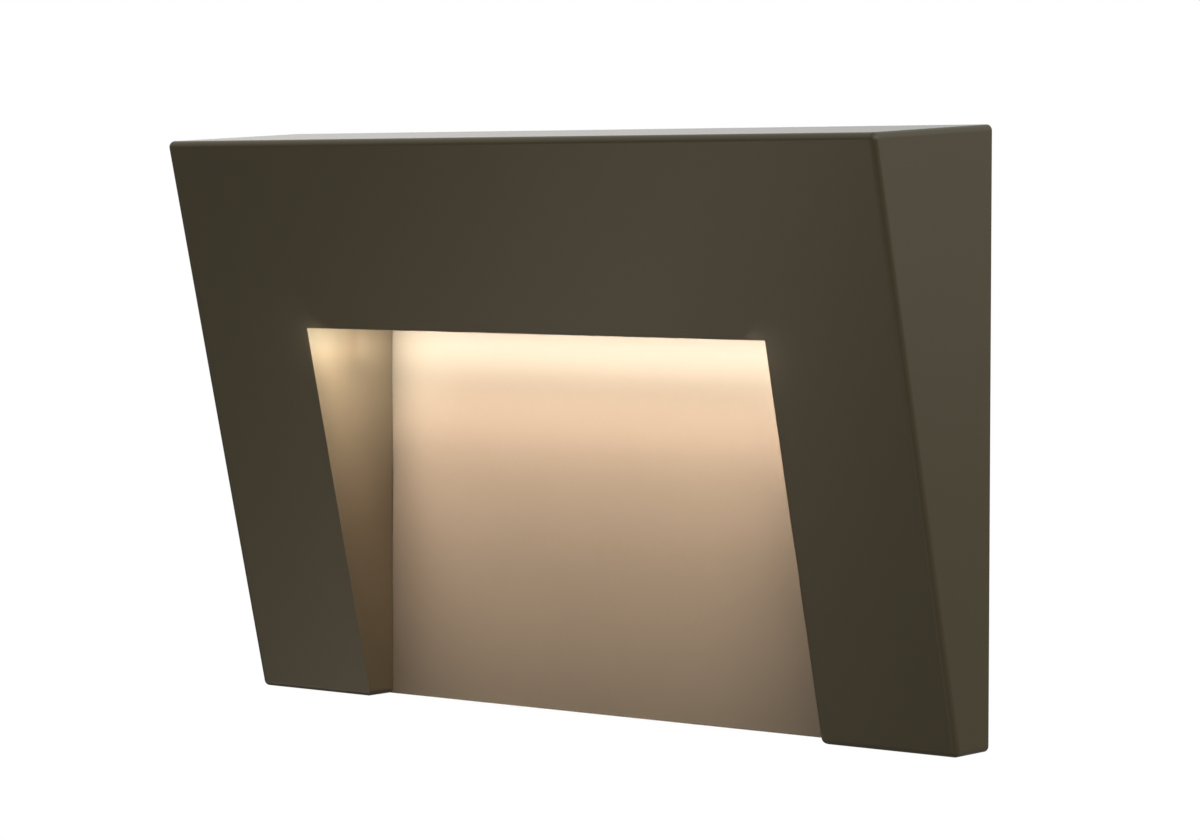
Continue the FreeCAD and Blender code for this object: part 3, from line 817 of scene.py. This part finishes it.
def led_packages():
    """White packages with a round cup, and a phosphor cap in each, facing down."""
    engine = bpy.context.scene.deck_light_engine
    boxes = solids("leds")
    low, high = boxes[0]
    height = high.z - low.z
    places = [middle(low, high, high.z) for low, high in boxes]
    corner = engine.led_width / math.sqrt(2)
    edge = 0.1 * MM
    cup = engine.led_cup
    cup_floor = height * 0.6
    package = [
        (0, 0), (corner * 0.9, 0, SQUARE), (corner, edge, SQUARE), (corner, height - edge, SQUARE),
        (corner * 0.95, height, SQUARE), (cup + edge, height), (cup, cup_floor), (0, cup_floor),
    ]
    foot_share, dome_share = 0.62, 0.36
    steps = 5
    cap = [(0, cup_floor), (cup, height * foot_share)]
    for step in range(1, steps):
        rise = step * math.pi / (2 * steps)
        cap.append((cup * math.cos(rise), height * (foot_share + dome_share * math.sin(rise))))
    cap.append((0, height * (foot_share + dome_share)))
    turn = Euler((math.pi, 0, math.pi / 4))
    white = moulded("led_package_white", (0.86, 0.86, 0.83), 0.35)
    mesh = copied(turned(package), places, turn, white)
    piece("led_packages", mesh, "light", replaces=["leds"])
    mesh = copied(turned(cap), places, turn, phosphor("warm_phosphor"))
    piece("led_caps", mesh, "light")


def capacitor():
    """A sleeved can on its side: a rolled groove at the leads' end, a scored top at the other."""
    low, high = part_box("smoothing_capacitor")
    length = high.x - low.x
    radius = (high.z - low.z) / 2
    bung = 0.5 * MM
    lap = radius - 0.5 * MM
    can = radius - 0.55 * MM
    groove, groove_half, groove_depth = 1.5 * MM, 0.4 * MM, 0.28 * MM
    shoulder = 0.25 * MM
    top = length - 0.12 * MM
    sleeve = [
        (0, bung), (can, bung), (lap, 0.1 * MM), (radius - 0.15 * MM, 0), (radius, 0.2 * MM),
        (radius, groove - groove_half), (radius - groove_depth, groove),
        (radius, groove + groove_half), (radius, length - shoulder), (radius - shoulder, length),
        (lap, length), (can, top), (0, top),
    ]
    turn = Euler((0, -math.pi / 2, 0))
    foot = Vector((high.x, (low.y + high.y) / 2, low.z + radius))
    mesh = placed(turned(sleeve), turn, foot)
    piece("capacitor_can", mesh, "light", shrink_sleeve("capacitor_sleeve"),
          ["smoothing_capacitor"])
    arm = 0.14 * MM
    reach = radius * 0.6
    score_thick = 0.08 * MM
    cross = []
    corners = [(arm, arm), (arm, reach), (-arm, reach)]
    for _ in range(4):
        cross += corners
        corners = [(-z, x) for x, z in corners]
    score = plate(cross, score_thick)
    placed(score, Euler((0, 0, math.pi / 2)), foot - Vector((top, 0, 0)))
    piece("capacitor_vent", score, "light", metal("can_aluminium", (0.7, 0.7, 0.71), 0.35))
    thick = 0.25 * MM
    reach = 1.2 * MM
    dome = 0.02 * MM
    wire = [(0, 0), (thick, dome), (thick, reach), (0, reach + dome)]
    inside = 0.75 * MM
    half_gap = 0.9 * MM
    spots = [foot + Vector((-inside, side * half_gap, 0)) for side in (-1, 1)]
    tin = metal("tinned_wire", (0.72, 0.72, 0.7), 0.3)
    mesh = copied(turned(wire), spots, Euler((0, math.pi / 2, 0)), tin)
    piece("capacitor_leads", mesh, "light")


def choke():
    """A shielded choke: a drum with its winding in a square ferrite ring with cut corners."""
    engine = bpy.context.scene.deck_light_engine
    low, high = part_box("choke")
    height = high.z - low.z
    foot = middle(low, high, low.z)
    half = min(high.x - low.x, high.y - low.y) / 2
    corner = half * math.sqrt(2)
    cut = 1.16
    bore = half * 0.84
    bore_edge = 0.1 * MM
    rim = 0.2 * MM
    ring = [
        (bore, 0), (corner, 0, SQUARE, cut), (corner, height - rim, SQUARE, cut),
        (corner * 0.95, height, SQUARE, cut), (bore + bore_edge, height),
        (bore, height - bore_edge),
    ]
    neck = half * 0.45
    lower, upper = bore - 0.12 * MM, bore - 0.35 * MM
    foot_low, foot_high = 0.1 * MM, 0.6 * MM
    cap_low, cap_high = height - 0.8 * MM, height - 0.2 * MM
    drum = [
        (0, foot_low), (lower, foot_low), (lower, foot_high), (neck, foot_high),
        (neck, cap_low), (upper, cap_low), (upper, cap_high), (0, cap_high),
    ]
    ferrite = moulded("dark_ferrite", (0.05, 0.05, 0.052), 0.55, grain=0.2 * MM, depth=0.01 * MM)
    turn = Euler((0, 0, math.pi / 4))
    piece("choke_ring", placed(turned(ring, closed=True), turn, foot), "light", ferrite,
          ["choke"])
    piece("choke_drum", placed(turned(drum), HEAD_UP, foot), "light", ferrite)
    copper = metal("enamelled_copper", (0.72, 0.32, 0.13), 0.25)
    coil_foot = foot + Vector((0, 0, 0.8 * MM))
    mesh = grown(winding_group(), [coil_foot], {
        "Turns": float(engine.turns), "Radius": bore - 0.45 * MM, "Height": height - 1.9 * MM,
        "Wire": engine.wire, "Finish": copper,
    })
    piece("choke_winding", mesh, "light")


def leg_outline(reach, height, thick):
    """A gull-wing leg seen from the side: out, down and out again along the board."""
    knee = reach * 0.35
    heel = reach * 0.6
    upper = [(0, height), (knee, height), (heel, thick), (reach, thick)]
    lower = [(reach, 0), (heel - thick, 0), (knee - thick, height - thick), (0, height - thick)]
    return upper + lower


def chip(name, legs, pitch, leg_width, inset):
    """A moulded package with bent legs along its front and rear edges."""
    engine = bpy.context.scene.deck_light_engine
    low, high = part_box(name)
    lift = 0.1 * MM
    rounding = 0.12 * MM
    body_low = Vector((low.x, low.y + inset, low.z + lift))
    body_high = Vector((high.x, high.y - inset, high.z))
    epoxy = moulded("black_epoxy", (0.022, 0.022, 0.024), 0.45)
    piece(name + "_body", rounded_block(body_low, body_high, rounding), "light", epoxy,
          [name])
    rise = (high.z - low.z) * 0.45
    tin = metal("tinned_legs", (0.72, 0.72, 0.7), 0.3)
    spots = [(low.x + high.x) / 2 + (leg - (legs - 1) / 2) * pitch for leg in range(legs)]
    for side, edge, way in (("front", body_low.y, -1), ("rear", body_high.y, 1)):
        leg = plate(leg_outline(inset, rise, engine.leg_thick), leg_width)
        places = [Vector((x, edge, low.z)) for x in spots]
        mesh = copied(leg, places, Euler((0, 0, way * math.pi / 2)), tin)
        piece(f"{name}_{side}_legs", mesh, "light")


def pin_header():
    """The black bar that holds the two link pins upright on the LED board."""
    low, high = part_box("link_pins")
    margin = Vector((1.0 * MM, 0.95 * MM, 0))
    bar_height = 2.3 * MM
    rounding = 0.25 * MM
    bottom = Vector(low) - margin
    top = Vector((high.x, high.y, low.z + bar_height)) + margin
    nylon = moulded("header_nylon", (0.02, 0.02, 0.021), 0.5)
    piece("link_header", rounded_block(bottom, top, rounding), "light", nylon)


def cable_gland():
    """A rubber bush with a rounded flange, three grips round its neck and lips in its bore."""
    low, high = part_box("cable_gland")
    length = high.y - low.y
    flange = (high.x - low.x) / 2
    neck = flange * 0.72
    bore = flange * 0.46
    flange_foot = length - 1.0 * MM
    lip = bore + 0.25 * MM
    rounding = 0.3 * MM
    profile = [
        (bore, length), (lip, length - rounding), (bore, length * 0.6),
        (lip, length * 0.45), (bore, length * 0.25), (bore + 0.4 * MM, 0),
        (neck - rounding, 0), (neck, rounding),
    ]
    grips = 3
    grip_depth = 0.22 * MM
    first_grip = 0.4 * MM
    run = flange_foot - 0.5 * MM
    for grip in range(grips):
        start = first_grip + run * grip / grips
        profile += [(neck, start), (neck - grip_depth, start + run / grips * 0.7)]
    flange_edge = 0.2 * MM
    dish_floor = length - 0.15 * MM
    profile += [
        (neck, flange_foot), (flange - flange_edge, flange_foot),
        (flange, flange_foot + flange_edge), (flange, length - rounding),
        (flange - rounding, length), (bore + 1.2 * MM, length), (bore + 0.9 * MM, dish_floor),
        (bore + 0.5 * MM, dish_floor), (bore + rounding, length),
    ]
    foot = Vector(((low.x + high.x) / 2, low.y, (low.z + high.z) / 2))
    rubber = moulded("gland_rubber", (0.018, 0.018, 0.018), 0.6, depth=0.006 * MM)
    mesh = placed(turned(profile, closed=True), HEAD_REAR, foot)
    piece("gland_bush", mesh, "light", rubber, ["cable_gland"])


def backdrop():
    """The studio round the light: white to the camera, a few broad glows to everything else."""
    world = bpy.data.worlds.new("studio")
    bpy.context.scene.world = world
    world.use_nodes = True
    sky = Tree(world.node_tree)
    direction = sky.add("ShaderNodeTexCoord", output="Generated")
    total = BLACK
    for axis, start, full, colour in GLOWS:
        along = sky.add(
            "ShaderNodeVectorMath", {"operation": "DOT_PRODUCT"},
            {0: direction, 1: Vector(axis).normalized()}, "Value",
        )
        share = sky.add(
            "ShaderNodeMapRange", {"interpolation_type": "SMOOTHSTEP"},
            {"Value": along, "From Min": start, "From Max": full},
        )
        glow = sky.add("ShaderNodeVectorMath", {"operation": "SCALE"}, {0: colour, "Scale": share})
        total = sky.add("ShaderNodeVectorMath", {"operation": "ADD"}, {0: total, 1: glow})
    seen = sky.add("ShaderNodeLightPath", output="Is Camera Ray")
    light = sky.add("ShaderNodeBackground", None, {"Color": total})
    white = sky.add("ShaderNodeBackground", None, {"Color": WHITE})
    both = sky.add("ShaderNodeMixShader", None, {0: seen, 1: light, 2: white})
    sky.add("ShaderNodeOutputWorld", None, {"Surface": both})


def lay_floor():
    """A plain floor far below the light, pure white to the camera."""
    stage = bpy.context.scene.deck_light_stage
    half = stage.floor_size / 2
    mesh = bpy.data.meshes.new("floor")
    height = cad_low.z - stage.floor_drop
    corners = [(-half, -half), (half, -half), (half, half), (-half, half)]
    mesh.from_pydata([(x, y, height) for x, y in corners], [], [(0, 1, 2, 3)])
    floor = bpy.data.objects.new("floor", mesh)
    bpy.context.scene.collection.objects.link(floor)
    finish = Finish("pale_floor")
    shade = stage.floor_shade
    matt = finish.add("ShaderNodeBsdfDiffuse", None, {"Color": (shade, shade, shade, 1)})
    white = finish.add("ShaderNodeEmission", None, {"Color": WHITE, "Strength": 1.0})
    clear = finish.add("ShaderNodeBsdfTransparent")
    seen = finish.add("ShaderNodeLightPath", output="Is Camera Ray")
    below = finish.add("ShaderNodeNewGeometry", output="Backfacing")
    lit = finish.add("ShaderNodeMixShader", None, {0: seen, 1: matt, 2: white})
    both = finish.add("ShaderNodeMixShader", None, {0: below, 1: lit, 2: clear})
    finish.add("ShaderNodeOutputMaterial", None, {"Surface": both})
    mesh.materials.append(finish.material)


def aim(thing, place, target):
    """Stands a light or a camera at a place, pointed at a target."""
    thing.location = place
    thing.rotation_euler = (Vector(target) - Vector(place)).to_track_quat("-Z", "Y").to_euler()


def soft_box(name, size, power, colour, spread=math.pi):
    """A rectangular lamp that the camera doesn't see."""
    data = bpy.data.lights.new(name, "AREA")
    data.shape = "RECTANGLE"
    data.size, data.size_y = size
    data.energy = power
    data.color = colour
    data.spread = spread
    light = bpy.data.objects.new(name, data)
    bpy.context.scene.collection.objects.link(light)
    light.visible_camera = False
    return light


def front_softbox():
    """The long slanting softbox whose reflection is the pale band across the leaning front."""
    stage = bpy.context.scene.deck_light_stage
    light = soft_box("front_softbox", stage.strip_size, stage.strip_power, stage.strip_colour)
    light.location = stage.strip_place
    light.rotation_euler = stage.strip_turn


def edge_softbox():
    """A small warm box that keeps the rounded edge between front and side from going dark."""
    stage = bpy.context.scene.deck_light_stage
    size = (stage.edge_size, stage.edge_size)
    light = soft_box("edge_softbox", size, stage.edge_power, stage.edge_colour)
    aim(light, Vector(stage.edge_place), Vector())


def wash_lamp(name, place, ahead, size, spread, power, colour):
    """A lamp under the lens, from the middle of its lower face, that no gloss mirrors."""
    size = [side * MM for side in size]
    light = soft_box(name, size, power, colour, math.radians(spread))
    start = middle(lens_low, lens_high, lens_low.z) + Vector(place) * MM
    aim(light, start, start + Vector(ahead))
    light.visible_glossy = False
    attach(light, "light")


def wash_lamps():
    """Throws the lens's light down the plate and onto the legs' inner walls."""
    lamp = bpy.context.scene.deck_light_lamp
    for washes, colour in ((NEAR_WASHES, lamp.near_colour), (WASHES, lamp.colour)):
        for *how, share in washes:
            wash_lamp(*how, lamp.power * share, colour)
    for name, (across, *place), (aside, *ahead), size, spread, share in LEG_WASHES:
        for side, sign in (("left", -1), ("right", 1)):
            wash_lamp(
                f"{name}_{side}", (sign * across, *place), (sign * aside, *ahead), size, spread,
                lamp.power * share, lamp.near_colour,
            )


def set_camera():
    """Stands the camera where the photograph looks from."""
    stage = bpy.context.scene.deck_light_stage
    data = bpy.data.cameras.new("camera")
    data.sensor_width = SENSOR_WIDTH
    data.lens = stage.focal_length
    data.clip_start = NEAR_CLIP
    camera = bpy.data.objects.new("camera", data)
    bpy.context.scene.collection.objects.link(camera)
    azimuth, elevation = stage.camera_azimuth, stage.camera_elevation
    ahead = Vector((
        -math.sin(azimuth) * math.cos(elevation),
        math.cos(azimuth) * math.cos(elevation),
        -math.sin(elevation),
    ))
    place = Vector(stage.camera_place)
    aim(camera, place, place + ahead)
    bpy.context.scene.camera = camera


# Each glow: its direction, where it starts and is full as a cosine, and its colour.
GLOWS = (
    ((0, 0, 1), 0.0, 0.6, (0.50, 0.52, 0.48)),
    ((1, 0, 0), 0.2, 0.9, (1.13, 1.07, 0.98)),
    ((-1, 0, 0), 0.2, 0.9, (0.45, 0.37, 0.28)),
    ((-0.70, 0.70, 0.12), 0.93, 1.0, (0.80, 0.845, 0.91)),
)
# Each wash lamp: its place in millimetres from the middle of the lens's lower face, the way it
# points, its width and depth in millimetres, its spread in degrees and its share of the power.
NEAR_WASHES = (
    ("wash_near", (-1, 2.55, -2.2), (0, 1, -0.09), (72, 4), 100, 0.155),
)
WASHES = (
    ("wash_level", (-1, -0.45, -2.2), (0, 1, -0.09), (72, 4), 100, 0.182),
    ("wash_middle", (-3.5, -4.85, -1.7), (0, 0.77, -0.64), (67, 4), 50, 0.23),
    ("wash_deep", (-3, -4.45, -0.8), (0, 0.34, -0.94), (66, 4), 50, 0.34),
    ("wash_corner", (33.5, -4.85, -1.7), (0, 0.77, -0.64), (5, 4), 50, 0.012),
    ("wash_edge", (-36, -4.45, -0.8), (0.2, 0.34, -0.94), (2, 4), 50, 0.0125),
    ("wash_rim", (36, -4.45, -0.8), (0, 0.5, -0.87), (2, 4), 40, 0.005),
)
# The same for the lamps on the legs, each a pair.
LEG_WASHES = (
    ("leg_wash_close", (33, -3.95, -1.4), (1, 0, -0.3), (8, 1.2), 140, 0.0155),
    ("leg_wash_far", (10, -3.45, -2.2), (1, 0, -0.1), (6, 2), 80, 0.041),
    ("leg_wash_toe", (28, -3.45, -1.7), (0.4, 0.75, -0.55), (6, 3), 70, 0.007),
)


class DECKLIGHT_OT_bronze(bpy.types.Operator):
    """Coats the casting and the plate"""

    bl_idname = "deck_light.bronze"
    bl_label = "Coat the bronze pieces"

    def execute(self, context):
        bronze = context.scene.deck_light_bronze
        casting = powder_coat("bronze_casting_coat", tuple(bronze.tint), bronze.grain_depth)
        sheet = powder_coat("bronze_sheet_coat", tuple(bronze.sheet_tint), bronze.sheet_depth)
        dress("housing", casting)
        dress("mounting_plate", sheet)
        return {"FINISHED"}


class DECKLIGHT_OT_rear(bpy.types.Operator):
    """Finishes the wall foam, the chamber's cover and seal, and the cable gland"""

    bl_idname = "deck_light.rear"
    bl_label = "Finish the rear"

    def execute(self, context):
        silicone = moulded("silicone_seal", (0.5, 0.5, 0.49), 0.62)
        dress("wall_gasket", closed_cell_foam("closed_cell_foam"))
        dress("chamber_cover", metal("rolled_cover", (0.74, 0.74, 0.75), 0.36, lay=(0.03, 1, 1)))
        dress("chamber_gasket", silicone)
        dress("lens_gasket", silicone)
        cable_gland()
        return {"FINISHED"}


class DECKLIGHT_OT_screws(bpy.types.Operator):
    """Turns every screw, with its thread"""

    bl_idname = "deck_light.screws"
    bl_label = "Turn the screws"

    def execute(self, context):
        screw = context.scene.deck_light_screws
        headed_screws("cover_screws", screw.cover_head, screw.cover_shank, HEAD_REAR)
        headed_screws("heat_spreader_screws", screw.cover_head, screw.tab_shank, HEAD_REAR)
        headed_screws("led_board_screws", screw.board_head, screw.board_shank, HEAD_DOWN)
        headed_screws("driver_screws", screw.board_head, screw.board_shank, HEAD_UP)
        for side in ("left", "right"):
            set_screw(side)
        return {"FINISHED"}


class DECKLIGHT_OT_engine(bpy.types.Operator):
    """Finishes the LED board, its LEDs, the reflector and the heat spreader"""

    bl_idname = "deck_light.engine"
    bl_label = "Finish the light engine"

    def execute(self, context):
        white_board = solder_mask(
            "white_led_board", (0.84, 0.84, 0.82), (0.74, 0.72, 0.66), gap=1.4 * MM,
            width=0.8 * MM,
        )
        dress("led_board", white_board)
        dress("reflector", moulded("white_reflector", (0.88, 0.88, 0.86), 0.25))
        dress("thermal_pad", moulded("thermal_pad_grey", (0.38, 0.4, 0.43), 0.75, depth=0.01 * MM))
        dress("heat_spreader", metal("rolled_spreader", (0.76, 0.76, 0.77), 0.34, lay=(0.03, 1, 1)))
        led_packages()
        return {"FINISHED"}


class DECKLIGHT_OT_driver(bpy.types.Operator):
    """Finishes the driver board and fits its parts"""

    bl_idname = "deck_light.driver"
    bl_label = "Finish the driver"

    def execute(self, context):
        green_board = solder_mask(
            "green_driver_board", (0.02, 0.13, 0.05), (0.05, 0.24, 0.09), gap=0.9 * MM,
            width=0.4 * MM,
        )
        brass = metal("turned_brass", (0.76, 0.56, 0.24), 0.26, lay=(1, 1, 8))
        dress("driver_board", green_board)
        dress("driver_standoffs", brass)
        dress("link_pins", brass)
        capacitor()
        choke()
        chip("bridge_rectifier", legs=2, pitch=2.5 * MM, leg_width=0.7 * MM, inset=0.6 * MM)
        chip("driver_chip", legs=4, pitch=1.0 * MM, leg_width=0.4 * MM, inset=0.7 * MM)
        pin_header()
        return {"FINISHED"}


class DECKLIGHT_OT_lamp(bpy.types.Operator):
    """Lights the lens and throws its light down the plate"""

    bl_idname = "deck_light.lamp"
    bl_label = "Light the lens"

    def execute(self, context):
        dress("lens", frosted_lens("frosted_polycarbonate"))
        wash_lamps()
        return {"FINISHED"}


class DECKLIGHT_OT_stage(bpy.types.Operator):
    """Sets the floor, the studio light and the camera"""

    bl_idname = "deck_light.stage"
    bl_label = "Set the stage"

    def execute(self, context):
        backdrop()
        lay_floor()
        front_softbox()
        edge_softbox()
        set_camera()
        context.scene.view_settings.view_transform = "Standard"
        return {"FINISHED"}


class DECKLIGHT_PT_panel(bpy.types.Panel):
    """Lists the steps that finish the deck light"""

    bl_idname = "DECKLIGHT_PT_panel"
    bl_label = "Deck light"
    bl_space_type = "VIEW_3D"
    bl_region_type = "UI"
    bl_category = "Deck light"

    def draw(self, context):
        for step in STEPS:
            self.layout.operator(step.bl_idname)


GROUPS = {
    "deck_light_bronze": BronzeSettings,
    "deck_light_lamp": LampSettings,
    "deck_light_screws": ScrewSettings,
    "deck_light_engine": EngineSettings,
    "deck_light_stage": StageSettings,
}
STEPS = (
    DECKLIGHT_OT_bronze,
    DECKLIGHT_OT_rear,
    DECKLIGHT_OT_screws,
    DECKLIGHT_OT_engine,
    DECKLIGHT_OT_driver,
    DECKLIGHT_OT_lamp,
    DECKLIGHT_OT_stage,
)


def register():
    for cls in (*GROUPS.values(), *STEPS, DECKLIGHT_PT_panel):
        bpy.utils.register_class(cls)
    for name, cls in GROUPS.items():
        setattr(bpy.types.Scene, name, PointerProperty(type=cls))


def unregister():
    for name in GROUPS:
        delattr(bpy.types.Scene, name)
    for cls in reversed((*GROUPS.values(), *STEPS, DECKLIGHT_PT_panel)):
        bpy.utils.unregister_class(cls)


def main():
    register()
    for step in STEPS:
        group, name = step.bl_idname.split(".")
        getattr(getattr(bpy.ops, group), name)()


if __name__ == "__main__":
    main()
